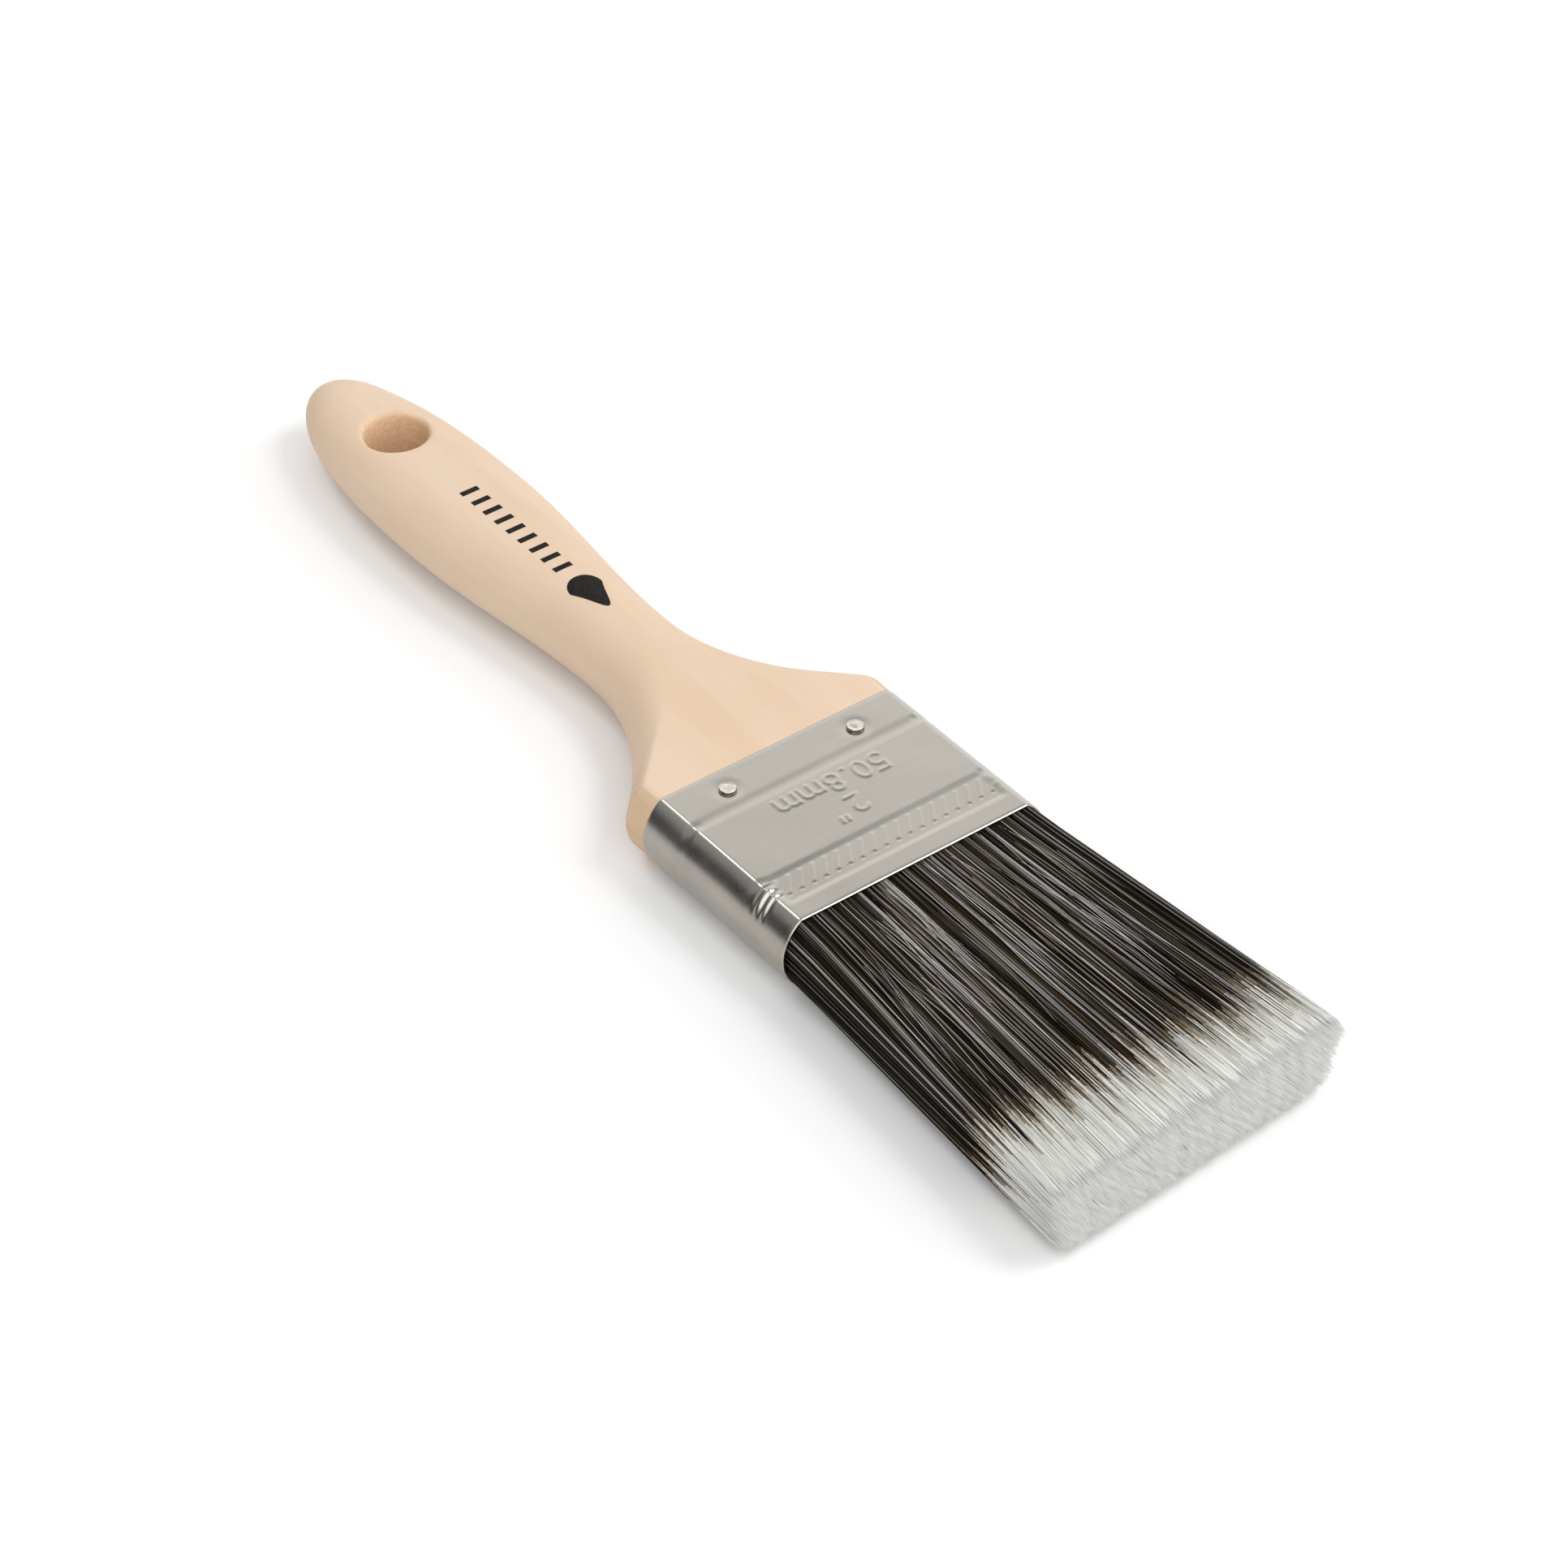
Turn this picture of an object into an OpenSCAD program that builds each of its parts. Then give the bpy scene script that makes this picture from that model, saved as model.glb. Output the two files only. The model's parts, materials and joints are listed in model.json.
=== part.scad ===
// Flat two-inch paint brush, lying on its back.
// Length along X with the filaments towards +X, width along Y, front face up.

/* [Ferrule] */
// Width of the brush across the ferrule
ferrule_w = 50.8; // [44:0.2:64]
// Thickness of the ferrule from face to face
ferrule_t = 13.4; // [12:0.2:16]
// Length of the ferrule
ferrule_l = 35.5; // [33:0.5:42]
// How far each narrow side of the ferrule bulges past its flat faces
side_bulge = 3.6; // [2.4:0.1:4.5]
// Thickness of the sheet steel
sheet = 0.4; // [0.3:0.05:0.5]

/* [Handle] */
// Length of the handle outside the ferrule
handle_l = 130; // [115:1:160]
// Half width of the handle at its neck
neck_r = 8.7; // [8.2:0.1:10]
// Half width of the handle at its belly
belly_r = 12.5; // [11:0.1:15]
// Half thickness of the handle at the hang hole
tail_r = 6.0; // [5.6:0.1:6.6]
// Diameter of the hang hole
hole_d = 11; // [7:0.5:12]
// Distance from the handle's end to the hang hole's centre
hole_inset = 24; // [20:0.5:32]

/* [Filaments] */
// Length of the filaments outside the ferrule
filament_l = 69.5; // [50:0.5:80]
// Half width of the filament pack at its tips
tip_half_w = 29; // [26:0.5:33]
// How much the middle filaments are longer than the outer ones
chisel = 3; // [1:0.5:8]

/* [Nails] */
// Diameter of a nail's head
nail_head_d = 2.8; // [2:0.1:4]
// Distance from the ferrule's handle edge to the nails
nail_inset = 4.5; // [3.5:0.5:6]
// Distance between the two nails on a face
nail_spacing = 24.8; // [16:0.2:30]

/* [Hidden] */

nail_head_h = 0.5;
nail_rim_h = 0.25;
nail_shank_r = 0.7;
nail_depth = 6;
nail_gap = 0.05;

// Places along the brush
x_end = -(handle_l + ferrule_l + filament_l) / 2;
x_shoulder = x_end + handle_l;
x_mouth = x_shoulder + ferrule_l;
x_nails = x_shoulder + nail_inset;
x_hole = x_end + hole_inset;
z_mid = nail_head_h + ferrule_t / 2;

// Ferrule section: flat faces closed by two arcs
half_t = ferrule_t / 2;
side_r = (half_t * half_t + side_bulge * side_bulge) / (2 * side_bulge);
side_y = ferrule_w / 2 - side_r;
edge_angle = asin(half_t / side_r);

// Stamped grooves across the ferrule's faces, measured back from the mouth
groove_places = [26.8, 10.4];
groove_r = 2;
groove_depth = 0.15;

// Handle outline, measured back from the shoulder
shoulder_l = 4.7;
neck_s = 38;
belly_s = 86;
nose_power = 2.5;
nose_round = 10;
round_side_s = 24;
side_stretch = 1.5;
ring_step = 3;
side_steps = 10;
fit_gap = 0.05;

// Inside the ferrule
tenon_l = 11.5;
epoxy_l = 5.5;
spacer_l = 13;
spacer_heel_t = 2.4;
spacer_tip_t = 1.4;
middle_row_t = 3;
root_recess = 3;
x_epoxy = x_shoulder + tenon_l;
x_heel = x_epoxy + epoxy_l;
x_roots_end = x_mouth - root_recess;

// Free filament pack, which turns about a line across the brush
pack_gap = 0.3;
pack_r = 6;
pack_tip_r = 5.8;
row_split = 2;
x_flex = x_mouth + pack_gap + pack_r;
x_tips = x_mouth + filament_l;
pack_root_half_w = ferrule_w / 2 - 0.8;
tip_corner = 6;
pack_side_r = 9;

module along_x(from, to) {
    translate([from, 0, z_mid])
        rotate([90, 0, 90])
            linear_extrude(to - from)
                children();
}

module along_y(width) {
    translate([0, width / 2, z_mid])
        rotate([90, 0, 0])
            linear_extrude(width)
                children();
}

// The ferrule's section, moved inwards by inset
module band_section(inset) {
    intersection() {
        square([ferrule_w, ferrule_t - 2 * inset], center = true);
        union() {
            square([2 * side_y, ferrule_t - 2 * inset], center = true);
            for (side = [-1, 1])
                translate([side * side_y, 0])
                    circle(side_r - inset, $fn = 96);
        }
    }
}

// ---- handle ----

// Smooth step from 0 to 1 between two places
function ease(s, from, to) =
    s <= from ? 0 : s >= to ? 1 : (1 - cos(180 * (s - from) / (to - from))) / 2;

function flare_half_w(s) =
    neck_r + (ferrule_w / 2 - neck_r) * pow((neck_s - s) / (neck_s - shoulder_l), 2);

function nose_half_w(s) =
    belly_r * sqrt(1 - pow((s - belly_s) / (handle_l - belly_s), nose_power));

function half_w(s) =
    s <= shoulder_l ? ferrule_w / 2
    : s <= neck_s ? flare_half_w(s)
    : s <= belly_s ? neck_r + (belly_r - neck_r) * ease(s, neck_s, belly_s)
    : nose_half_w(s);

function nose_round_at(s) =
    s <= handle_l - nose_round ? 1
    : sqrt(1 - pow((s - handle_l + nose_round) / nose_round, 2));

function half_thick(s) =
    (half_t + (tail_r - half_t) * ease(s, neck_s, handle_l - hole_inset)) * nose_round_at(s);

// How far round each side's curve goes before it meets the flat face
function side_angle(s) = edge_angle + (90 - edge_angle) * ease(s, shoulder_l, round_side_s);

function side_depth(s) =
    min(half_thick(s) / sin(side_angle(s)) * (1 + (side_stretch - 1) * ease(s, 0, belly_s)),
        0.98 * half_w(s));

function ring_point(s, side, angle) = [
    x_shoulder - s,
    side * (half_w(s) - side_depth(s) * (1 - cos(angle))),
    z_mid + half_thick(s) * sin(angle) / sin(side_angle(s))
];

function ring(s) = [
    for (side = [1, -1])
        for (i = [0 : side_steps])
            ring_point(s, side, side * side_angle(s) * (2 * i / side_steps - 1))
];

// Closer rings near the shoulder's corner and the rounded end
last_ring_s = handle_l - 0.02;
ring_places = concat(
    [0, shoulder_l],
    [for (s = [shoulder_l + 1 : 2 : 18]) s],
    [for (s = [20 : ring_step : handle_l - nose_round - 2]) s],
    [for (i = [0 : 9]) handle_l - nose_round * pow(1 - i / 10, 2)],
    [last_ring_s]
);

module handle_loft() {
    count = 2 * side_steps + 2;
    rings = len(ring_places);
    points = [for (s = ring_places) each ring(s)];
    walls = [
        for (r = [0 : rings - 2])
            for (i = [0 : count - 1])
                let (j = (i + 1) % count)
                    each [[r * count + i, (r + 1) * count + j, (r + 1) * count + i],
                          [r * count + i, r * count + j, (r + 1) * count + j]]
    ];
    near_cap = [for (i = [count - 1 : -1 : 0]) i];
    far_cap = [for (i = [0 : count - 1]) (rings - 1) * count + i];
    polyhedron(points, concat(walls, [near_cap], [far_cap]));
}

// Straight bore with an eased rim at both faces
hole_wall_l = 9.6;
hole_rim = 1.6;

module hang_hole() {
    translate([x_hole, 0, z_mid]) {
        cylinder(h = 3 * ferrule_t, d = hole_d, center = true, $fn = 96);
        for (face = [0, 180])
            rotate([face, 0, 0])
                translate([0, 0, hole_wall_l / 2])
                    cylinder(h = hole_rim, r1 = hole_d / 2, r2 = hole_d / 2 + hole_rim, $fn = 96);
    }
}

// Nail places: side along Y, face +1 on the front and -1 on the back
module at_nail(side, face) {
    translate([x_nails, side * nail_spacing / 2, z_mid])
        rotate([face > 0 ? 0 : 180, 0, 0])
            translate([0, 0, half_t])
                children();
}

module nail_holes() {
    for (side = [-1, 1])
        for (face = [-1, 1])
            at_nail(side, face)
                translate([0, 0, -nail_depth - nail_gap])
                    cylinder(h = nail_depth + 2, r = nail_shank_r + nail_gap, $fn = 32);
}

module handle() {
    color([0.91, 0.80, 0.67])
        difference() {
            union() {
                handle_loft();
                along_x(x_shoulder - 2, x_epoxy)
                    band_section(sheet + fit_gap);
            }
            hang_hole();
            nail_holes();
        }
}

// ---- ferrule and nails ----

module ferrule() {
    color([0.75, 0.75, 0.73])
        difference() {
            along_x(x_shoulder, x_mouth)
                band_section(0);
            along_x(x_shoulder - 1, x_mouth + 1)
                band_section(sheet);
            for (place = groove_places)
                for (face = [-1, 1])
                    translate([x_mouth - place, 0, z_mid + face * (half_t + groove_r - groove_depth)])
                        rotate([90, 0, 0])
                            cylinder(h = ferrule_w + 2, r = groove_r, center = true, $fn = 64);
            nail_holes();
        }
}

module nail(side, face) {
    head_r = nail_head_d / 2;
    dome_h = nail_head_h - nail_rim_h;
    dome_r = (head_r * head_r + dome_h * dome_h) / (2 * dome_h);
    color([0.83, 0.82, 0.79])
        at_nail(side, face) {
            rotate_extrude($fn = 48)
                intersection() {
                    square([head_r, nail_head_h]);
                    translate([0, nail_head_h - dome_r])
                        circle(dome_r, $fn = 128);
                }
            translate([0, 0, -nail_depth])
                cylinder(h = nail_depth + nail_rim_h / 2, r = nail_shank_r, $fn = 32);
        }
}

module nail_front_left() { nail(-1, 1); }
module nail_front_right() { nail(1, 1); }
module nail_back_left() { nail(-1, -1); }
module nail_back_right() { nail(1, -1); }

// ---- setting, spacers and filament roots ----

// Side outlines, as [x, z from the middle plane]
spacer_low = middle_row_t / 2;
spacer_outline = [
    [x_heel, spacer_low],
    [x_heel + spacer_l, spacer_low],
    [x_heel + spacer_l, spacer_low + spacer_tip_t],
    [x_heel, spacer_low + spacer_heel_t]
];
outer_row_outline = [
    [x_heel, spacer_low + spacer_heel_t],
    [x_heel + spacer_l, spacer_low + spacer_tip_t],
    [x_heel + spacer_l, spacer_low],
    [x_roots_end, spacer_low],
    [x_roots_end, half_t],
    [x_heel, half_t]
];

// A side outline, cut to the inside of the ferrule
module inside_ferrule() {
    intersection() {
        along_x(x_epoxy, x_mouth)
            band_section(sheet + fit_gap);
        along_y(ferrule_w)
            children();
    }
}

module epoxy_setting() {
    color([0.55, 0.42, 0.22])
        along_x(x_epoxy, x_heel)
            band_section(sheet + fit_gap);
}

module spacer(face) {
    color([0.72, 0.60, 0.44])
        inside_ferrule()
            scale([1, face])
                polygon(spacer_outline);
}

module spacer_front() { spacer(1); }
module spacer_back() { spacer(-1); }

module outer_roots(face) {
    color([0.17, 0.15, 0.13])
        inside_ferrule()
            scale([1, face])
                polygon(outer_row_outline);
}

module filament_roots_front() { outer_roots(1); }
module filament_roots_back() { outer_roots(-1); }

module filament_roots_middle() {
    color([0.17, 0.15, 0.13])
        inside_ferrule()
            translate([x_heel, -middle_row_t / 2])
                square([x_roots_end - x_heel, middle_row_t]);
}

// ---- free filaments ----

// Side view of the pack: round at its root, tapering slightly, and chisel cut
module pack_side() {
    union() {
        translate([x_flex, 0])
            circle(pack_r, $fn = 96);
        polygon([
            [x_flex, -pack_r],
            [x_tips - chisel, -pack_tip_r],
            [x_tips, -row_split],
            [x_tips, row_split],
            [x_tips - chisel, pack_tip_r],
            [x_flex, pack_r]
        ]);
    }
}

// Plan of the pack: fanning out, with rounded corners at the tips
module pack_plan() {
    polygon([
        [x_mouth, -pack_root_half_w],
        [x_tips - tip_corner, -tip_half_w],
        [x_tips - tip_corner / 3, -tip_half_w + tip_corner / 3],
        [x_tips, -tip_half_w + tip_corner],
        [x_tips, tip_half_w - tip_corner],
        [x_tips - tip_corner / 3, tip_half_w - tip_corner / 3],
        [x_tips - tip_corner, tip_half_w],
        [x_mouth, pack_root_half_w]
    ]);
}

// The part of the pack between two heights above the middle plane
module pack_row(low, high) {
    color([0.20, 0.18, 0.15])
        intersection() {
            along_y(3 * ferrule_w)
                intersection() {
                    pack_side();
                    translate([x_mouth, low])
                        square([filament_l + 1, high - low]);
                }
            linear_extrude(3 * ferrule_t)
                pack_plan();
        }
}

module filaments_front() { pack_row(row_split, half_t); }
module filaments_middle() { pack_row(-row_split, row_split); }
module filaments_back() { pack_row(-half_t, -row_split); }

handle();
ferrule();
nail_front_left();
nail_front_right();
nail_back_left();
nail_back_right();
epoxy_setting();
spacer_front();
spacer_back();
filament_roots_front();
filament_roots_middle();
filament_roots_back();
filaments_front();
filaments_middle();
filaments_back();
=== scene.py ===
"""Looks of a flat paint brush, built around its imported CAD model.

The brush lies on its back along X: handle towards -X, filament tips towards +X, front face up.
"""
import json
import math

import bpy
import numpy as np
from mathutils import Matrix, Vector


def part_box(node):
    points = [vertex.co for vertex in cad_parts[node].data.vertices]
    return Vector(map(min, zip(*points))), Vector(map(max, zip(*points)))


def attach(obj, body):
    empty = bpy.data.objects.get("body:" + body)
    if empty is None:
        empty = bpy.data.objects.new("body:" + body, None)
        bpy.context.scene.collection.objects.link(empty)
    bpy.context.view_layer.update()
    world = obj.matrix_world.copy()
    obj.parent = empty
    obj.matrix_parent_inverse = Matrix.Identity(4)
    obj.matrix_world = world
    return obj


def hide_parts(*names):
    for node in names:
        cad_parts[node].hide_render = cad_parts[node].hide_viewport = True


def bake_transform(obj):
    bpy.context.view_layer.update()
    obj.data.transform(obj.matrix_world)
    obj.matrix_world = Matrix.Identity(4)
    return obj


MM = 0.001

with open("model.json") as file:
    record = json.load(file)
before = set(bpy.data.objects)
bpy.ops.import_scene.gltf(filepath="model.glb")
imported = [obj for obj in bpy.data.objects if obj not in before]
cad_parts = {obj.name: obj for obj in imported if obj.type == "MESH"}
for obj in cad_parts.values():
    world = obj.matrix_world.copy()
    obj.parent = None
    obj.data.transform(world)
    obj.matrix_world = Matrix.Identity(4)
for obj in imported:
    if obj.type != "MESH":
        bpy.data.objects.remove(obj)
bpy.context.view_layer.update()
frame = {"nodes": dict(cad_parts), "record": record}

# ---- sizes read from the CAD model ----

BRUSH = "brush"

ferrule_low, ferrule_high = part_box("ferrule")
handle_low, handle_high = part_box("handle")
tips_low, tips_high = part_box("filaments_middle")
nail_nodes = [node for node in sorted(frame["nodes"]) if node.startswith("nail_")]
hang_hole = next(m for m in frame["record"]["mounts"] if m["name"] == "hang_hole")

X_END = handle_low.x
X_SHOULDER = ferrule_low.x
X_MOUTH = ferrule_high.x
X_TIPS = tips_high.x
X_TENON_END = handle_high.x
Z_MID = (ferrule_low.z + ferrule_high.z) / 2
HALF_W = (ferrule_high.y - ferrule_low.y) / 2
HALF_T = (ferrule_high.z - ferrule_low.z) / 2
TIP_HALF_W = tips_high.y
HANDLE_L = X_SHOULDER - X_END
HOLE_X = hang_hole["pos_m"][0]
HOLE_R = hang_hole["dims"]["r_mm"] * MM
HOLE_WALL = hang_hole["dims"]["length_mm"] * MM
NAIL_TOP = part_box("nail_front_left")[1].z

# ---- mesh helpers ----


def new_mesh(name, points, quads=(), triangles=(), slots=None, smooth=True):
    """A mesh object from arrays of points and faces. slots holds a material index for each face."""
    points = np.asarray(points, np.float32).reshape(-1, 3)
    quads = np.asarray(quads, np.int32).reshape(-1, 4)
    triangles = np.asarray(triangles, np.int32).reshape(-1, 3)
    corners = np.concatenate([quads.ravel(), triangles.ravel()])
    sizes = np.concatenate([np.full(len(quads), 4), np.full(len(triangles), 3)])
    starts = np.concatenate([[0], np.cumsum(sizes)[:-1]]).astype(np.int32)
    mesh = bpy.data.meshes.new(name)
    mesh.vertices.add(len(points))
    mesh.vertices.foreach_set("co", points.ravel())
    mesh.loops.add(len(corners))
    mesh.loops.foreach_set("vertex_index", corners)
    mesh.polygons.add(len(sizes))
    mesh.polygons.foreach_set("loop_start", starts)
    if slots is not None:
        mesh.polygons.foreach_set("material_index", np.asarray(slots, np.int32))
    mesh.polygons.foreach_set("use_smooth", np.full(len(sizes), smooth))
    mesh.update(calc_edges=True)
    mesh.validate()
    piece = bpy.data.objects.new(name, mesh)
    bpy.context.scene.collection.objects.link(piece)
    return piece


def tube_quads(rings, count, close_along=False):
    """Quads joining rings of count points each, one after the other."""
    ring = np.arange(rings if close_along else rings - 1)[:, None]
    i = np.arange(count)[None, :]
    j = (i + 1) % count
    after = (ring + 1) % rings
    return np.stack(
        [ring * count + i, ring * count + j, after * count + j, after * count + i], -1
    ).reshape(-1, 4)


def cap_fan(ring_start, count, centre, flip):
    """Triangles from a ring to a centre point."""
    i = np.arange(count)
    j = (i + 1) % count
    first, second = (j, i) if flip else (i, j)
    return np.stack([ring_start + first, ring_start + second, np.full(count, centre)], -1)


def closed_tube(name, rings, ends, flip=False):
    """A mesh through rings of points, closed by a fan at each end point."""
    count = len(rings[0])
    total = len(rings) * count
    triangles = np.concatenate(
        [cap_fan(0, count, total, not flip), cap_fan(total - count, count, total + 1, flip)]
    )
    quads = tube_quads(len(rings), count)
    return new_mesh(name, np.concatenate([*rings, ends]), quads[:, ::-1] if flip else quads, triangles)


def lathe(name, profile, steps):
    """A closed turned shape about Z: profile is [(radius, z)] from one axis point to the other."""
    profile = np.asarray(profile, float)
    angle = np.linspace(0, 2 * math.pi, steps, endpoint=False)
    radius, height = profile[1:-1, :1], np.repeat(profile[1:-1, 1:], steps, 1)
    rings = np.stack([radius * np.cos(angle), radius * np.sin(angle), height], -1)
    return closed_tube(name, rings, [(0, 0, profile[0, 1]), (0, 0, profile[-1, 1])])


def apply_modifiers(piece):
    """Turns a piece's modifiers into its mesh."""
    graph = bpy.context.evaluated_depsgraph_get()
    mesh = bpy.data.meshes.new_from_object(piece.evaluated_get(graph), depsgraph=graph)
    piece.modifiers.clear()
    piece.data = mesh
    return piece


def ease(value, start, end):
    """Smooth step from 0 at start to 1 at end."""
    t = np.clip((value - start) / (end - start), 0, 1)
    return (1 - np.cos(math.pi * t)) / 2


def bump(distance, width):
    """1 at distance 0, falling smoothly to 0 at width."""
    t = np.clip(np.abs(distance) / width, 0, 1)
    return (1 - t * t) ** 2


# ---- materials ----


class Shader:
    """A node material with one Principled shader and short ways to feed it."""

    def __init__(self, name, color, roughness, metallic=0.0, **sockets):
        self.material = bpy.data.materials.new(name)
        self.material.use_nodes = True
        self.tree = self.material.node_tree
        self.main = self.tree.nodes["Principled BSDF"]
        self.main.inputs["Base Color"].default_value = (*color, 1)
        self.main.inputs["Roughness"].default_value = roughness
        self.main.inputs["Metallic"].default_value = metallic
        for socket, value in sockets.items():
            self.main.inputs[socket.replace("_", " ")].default_value = value
        self.place = self.tree.nodes.new("ShaderNodeTexCoord").outputs["Object"]

    def node(self, kind, inputs=(), **settings):
        """A shader node with its inputs linked or set."""
        made = self.tree.nodes.new("ShaderNode" + kind)
        for key, value in settings.items():
            setattr(made, key, value)
        for key, value in dict(inputs).items():
            if isinstance(value, bpy.types.NodeSocket):
                self.tree.links.new(value, made.inputs[key])
            else:
                made.inputs[key].default_value = value
        return made

    def noise(self, scale, detail=2.0, roughness=0.5, distortion=0.0):
        """Noise in the piece's own coordinates, with scale features to the metre along each axis."""
        place = self.node("Mapping", {"Vector": self.place, "Scale": scale}).outputs["Vector"]
        inputs = {
            "Vector": place,
            "Scale": 1.0,
            "Detail": detail,
            "Roughness": roughness,
            "Distortion": distortion,
        }
        return self.node("TexNoise", inputs).outputs["Fac"]

    def ramp(self, value, stops):
        """Colours between stops, each (place, color) in rising order."""
        made = self.node("ValToRGB", {"Fac": value})
        elements = made.color_ramp.elements
        elements.remove(elements[1])
        elements[0].position = stops[0][0]
        for place, _ in stops[1:]:
            elements.new(place)
        for element, (_, color) in zip(elements, stops):
            element.color = (*color, 1)
        return made.outputs["Color"]

    def math(self, operation, a, b=0.0):
        return self.node("Math", {0: a, 1: b}, operation=operation).outputs[0]

    def part(self, vector, axis):
        """One axis of a vector."""
        return self.node("SeparateXYZ", {"Vector": vector}).outputs[axis]

    def facing(self, axis):
        """How much the surface faces along an axis, either way."""
        normal = self.node("NewGeometry").outputs["Normal"]
        return self.math("ABSOLUTE", self.part(normal, axis))

    def between(self, value, low, high, to_low=0.0, to_high=1.0):
        """A value's range from low to high, stretched to another range and held inside it."""
        inputs = {"Value": value, "From Min": low, "From Max": high, "To Min": to_low, "To Max": to_high}
        return self.node("MapRange", inputs).outputs["Result"]

    def mix(self, factor, a, b):
        """Colour a with a share of colour b."""
        made = self.node("Mix", data_type="RGBA")
        for socket, value in ((made.inputs[0], factor), (made.inputs[6], a), (made.inputs[7], b)):
            if isinstance(value, bpy.types.NodeSocket):
                self.tree.links.new(value, socket)
            else:
                socket.default_value = (*value, 1) if isinstance(value, tuple) else value
        return made.outputs[2]

    def feed(self, socket, value):
        self.tree.links.new(value, self.main.inputs[socket])

    def bumps(self, height, distance, strength=1.0, below=None):
        """The normal of a bumpy surface, on top of another normal where there is one below."""
        inputs = {"Height": height, "Distance": distance, "Strength": strength}
        if below is not None:
            inputs["Normal"] = below
        return self.node("Bump", inputs).outputs["Normal"]


def wood_material():
    """Pale sanded close-grained wood, warmer in the hang hole, where painted light also brightens the wall,
    with painted shade on the shoulder's narrow sides.
    """
    pale = (0.680, 0.513, 0.377)
    warm = (0.61, 0.425, 0.27)
    s = Shader("handle_wood", pale, 0.6, Specular_IOR_Level=0.35)
    figure = s.noise((9, 95, 95), detail=3, roughness=0.6, distortion=0.4)
    fine = s.noise((60, 1400, 1400), detail=4, roughness=0.65)
    cloud = s.noise((35, 75, 75), detail=3)
    pores = s.noise((170, 2600, 2600), detail=1)
    tones = [(0.25, (0.645, 0.480, 0.338)), (0.5, pale), (0.78, (0.705, 0.540, 0.405))]
    base = s.ramp(figure, tones)
    base = s.mix(s.between(fine, 0.45, 0.75, 0.0, 0.20), base, (0.65, 0.455, 0.297))
    base = s.mix(s.between(cloud, 0.48, 0.72, 0.0, 0.55), base, (0.690, 0.548, 0.420))
    base = s.mix(s.between(cloud, 0.28, 0.48, 0.45, 0.0), base, (0.650, 0.478, 0.318))
    base = s.mix(s.between(pores, 0.66, 0.76, 0.0, 0.12), base, (0.52, 0.34, 0.20))

    # On the narrow sides beside the ferrule: painted shade, darker and warmer wood wherever the surface
    # faces sideways
    x, y = s.part(s.place, "X"), s.part(s.place, "Y")
    shoulder = s.between(x, X_SHOULDER - 12 * MM, X_SHOULDER - 3 * MM)
    on_side = s.math("MULTIPLY", s.between(s.facing("Y"), 0.5, 0.62), shoulder)
    grain = s.between(fine, 0.4, 0.7)
    base = s.mix(s.math("MULTIPLY", on_side, 0.85), base, s.mix(grain, warm, (0.53, 0.350, 0.214)))

    # Round the hang hole's wall: partly the warmer drilled wood, partly painted light that brightens the
    # wall where little light reaches
    along = s.math("POWER", s.math("SUBTRACT", x, HOLE_X), 2.0)
    reach = s.math("SQRT", s.math("ADD", along, s.math("POWER", y, 2.0)))
    in_hole = s.between(reach, HOLE_R + 0.2 * MM, HOLE_R + 0.8 * MM, 0.9, 0.0)
    base = s.mix(in_hole, base, s.mix(grain, (0.78, 0.545, 0.34), warm))
    s.feed("Base Color", base)
    s.feed("Roughness", s.between(fine, 0.3, 0.7, 0.52, 0.68))
    normal = s.bumps(fine, 0.04 * MM, 0.5)
    s.feed("Normal", s.bumps(pores, 0.05 * MM, 0.35, below=normal))
    return s.material


def steel_material():
    """Satin sheet steel, brushed across the brush, with faint handling marks and painted shade on its narrow
    sides.
    """
    s = Shader("ferrule_steel", (0.468, 0.444, 0.399), 0.29, metallic=1.0)
    brushed = s.noise((2600, 70, 2600), detail=3, roughness=0.6)
    cloud = s.noise((90, 60, 90), detail=4, roughness=0.6)
    marks = s.noise((40, 900, 300), detail=2)
    tone = s.ramp(cloud, [(0.3, (0.449, 0.426, 0.382)), (0.7, (0.497, 0.474, 0.430))])
    tone = s.mix(s.between(brushed, 0.3, 0.7, 0.0, 0.10), tone, (0.42, 0.40, 0.355))
    # The narrow sides are painted darker than the faces, a painted shade for the dark reflection they show,
    # broken by faint blotches
    blotches = s.between(cloud, 0.3, 0.65, 0.95, 0.5)
    # Painted shade: darker base colour where the sheet faces sideways
    painted_side_shade = s.math("MULTIPLY", s.between(s.facing("Y"), 0.72, 0.95), blotches)
    tone = s.mix(painted_side_shade, tone, (0.335, 0.312, 0.275))
    s.feed("Base Color", tone)
    uneven = s.between(cloud, 0.3, 0.7, -0.03, 0.05)
    s.feed("Roughness", s.math("ADD", s.between(brushed, 0.3, 0.7, 0.26, 0.31), uneven))
    normal = s.bumps(brushed, 0.0012 * MM, 0.2)
    s.feed("Normal", s.bumps(marks, 0.004 * MM, 0.12, below=normal))
    return s.material


def nail_material():
    """Worn steel nail heads, with painted contact shade round their rims."""
    s = Shader("nail_steel", (0.60, 0.57, 0.52), 0.32, metallic=1.0)
    worn = s.noise((1300, 1300, 1300), detail=3)
    tone = s.ramp(worn, [(0.3, (0.58, 0.54, 0.48)), (0.7, (0.78, 0.74, 0.68))])
    # Painted contact shade: the head turns dark brown where it faces sideways, round its rim
    tone = s.mix(s.between(s.facing("Z"), 0.15, 0.50, 1.0, 0.0), tone, (0.055, 0.040, 0.028))
    s.feed("Base Color", tone)
    s.feed("Roughness", s.between(worn, 0.3, 0.7, 0.26, 0.42))
    s.feed("Normal", s.bumps(worn, 0.02 * MM, 0.3))
    return s.material


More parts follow.
